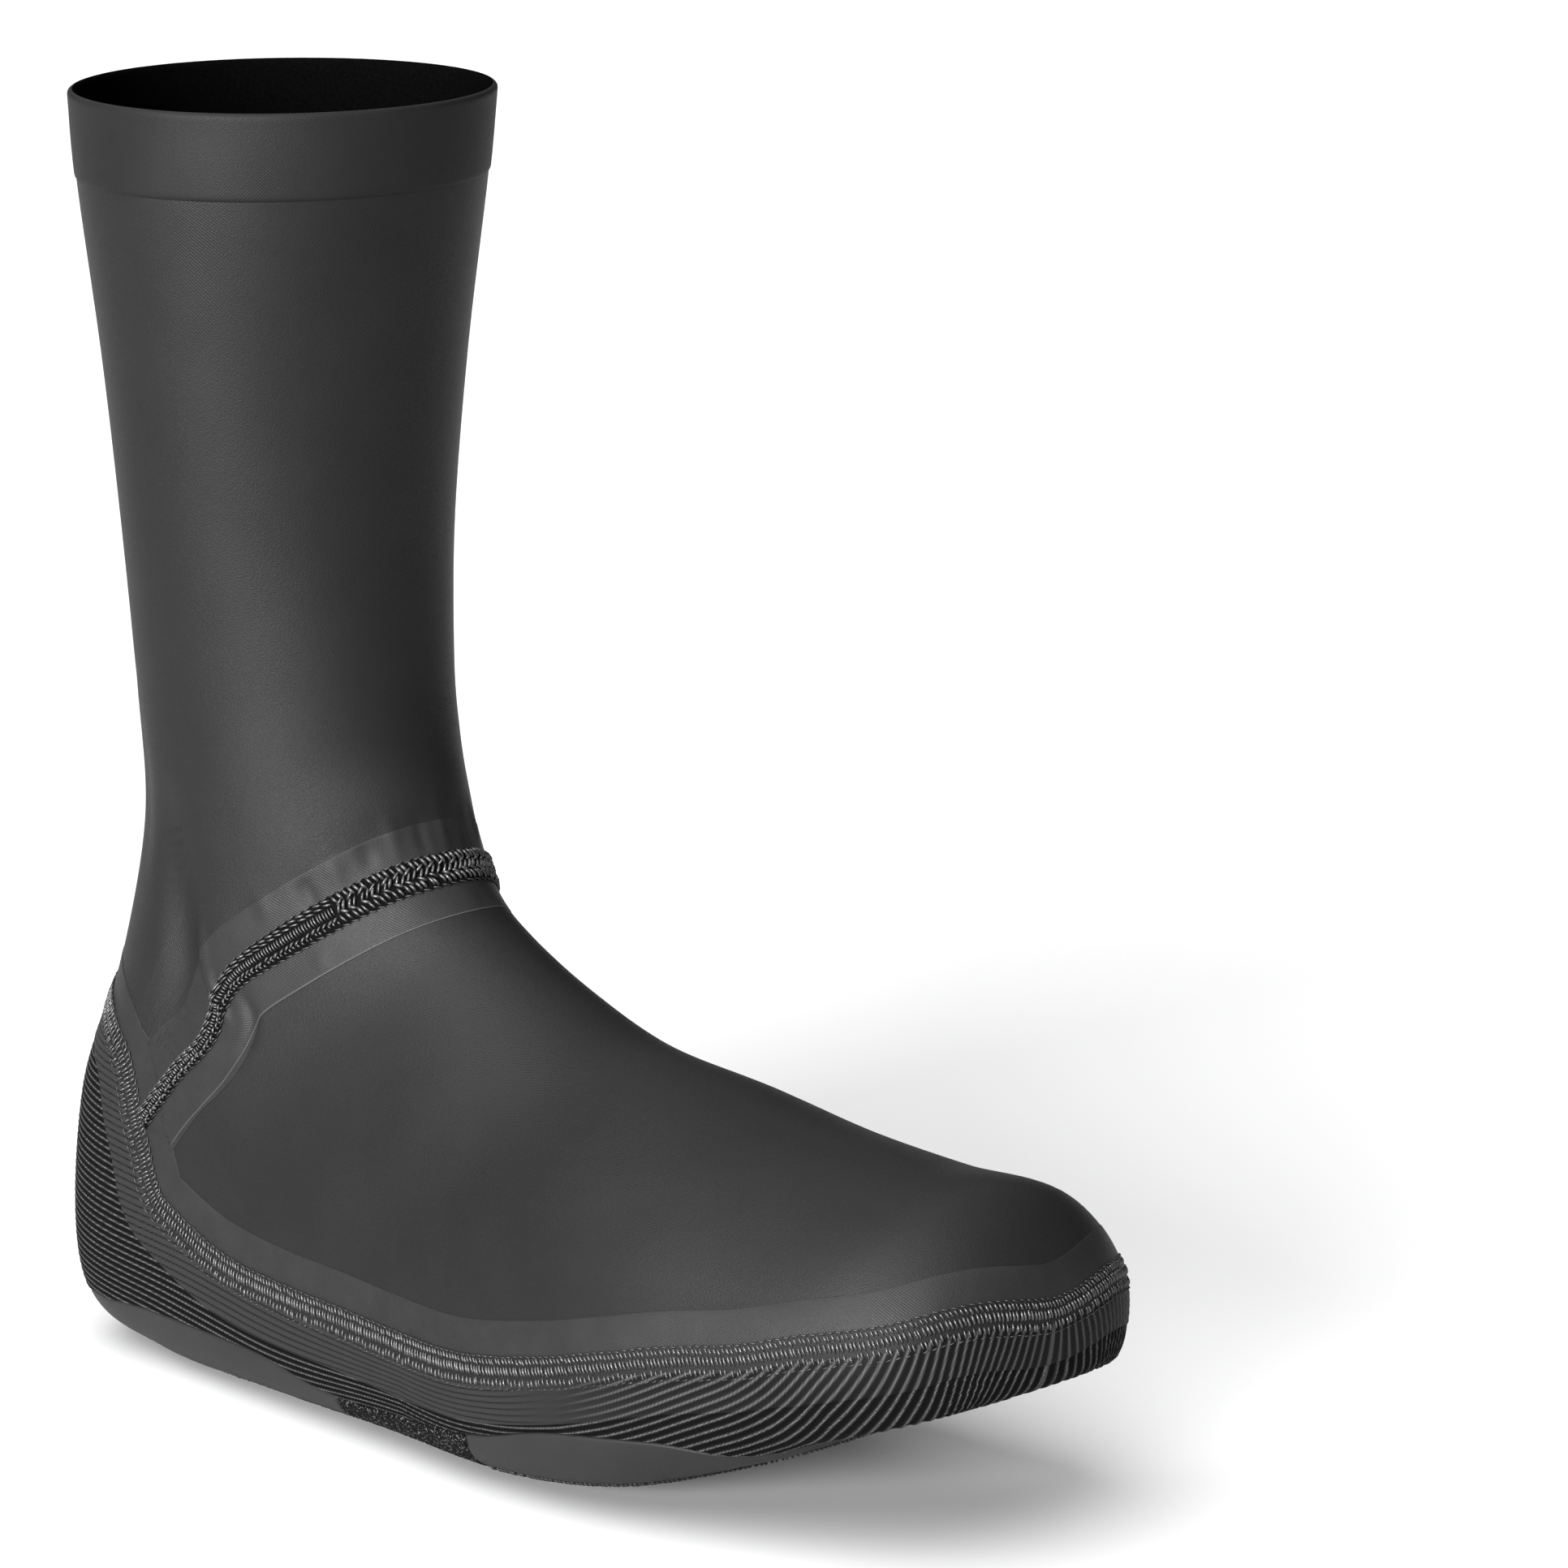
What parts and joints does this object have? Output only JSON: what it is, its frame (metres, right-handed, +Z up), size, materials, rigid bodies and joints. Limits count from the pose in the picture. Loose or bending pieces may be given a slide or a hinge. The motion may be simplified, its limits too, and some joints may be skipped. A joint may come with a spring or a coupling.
{
  "type": "cycling overshoe",
  "caption": "Calf-high coated stretch overshoe for the right foot, hollow, with taped seams, a ribbed rand, and heel, cleat and toe openings under the foot.",
  "frame": {"origin": "on the ground, half way along the foot, in the flat underside of the arch strap", "axes": "+X to the toe, +Y to the wearer's left (the inner side of this right foot), +Z up the leg"},
  "size_m": [0.2975, 0.1135, 0.3122],
  "materials": {
    "coated_fabric": "matte rubberised coating on stretch knit",
    "cuff_fabric": "matte, slightly rougher turned hem",
    "ribbed_fabric": "ribbed woven with dotted highlights",
    "seam_tape": "smooth bonded tape, soft sheen",
    "seam_stitching": "shiny thread coverstitch",
    "edging_fabric": "smooth coated fabric with sheen",
    "strap_fabric": "rough black fabric with sparkling specks"
  },
  "bodies": {
    "root": {"cuff_band": "cuff_fabric", "leg": "coated_fabric", "foot_upper": "coated_fabric", "rand": "ribbed_fabric", "rand_seam_stitching": "seam_stitching", "rand_seam_tape_lower": "seam_tape", "rand_seam_tape_upper": "seam_tape", "ankle_seam_stitching": "seam_stitching", "ankle_seam_tape_lower": "seam_tape", "ankle_seam_tape_upper": "seam_tape", "heel_opening_strip": "edging_fabric", "forefoot_opening_strip": "edging_fabric", "arch_strap": "strap_fabric"}
  },
  "joints": []
}
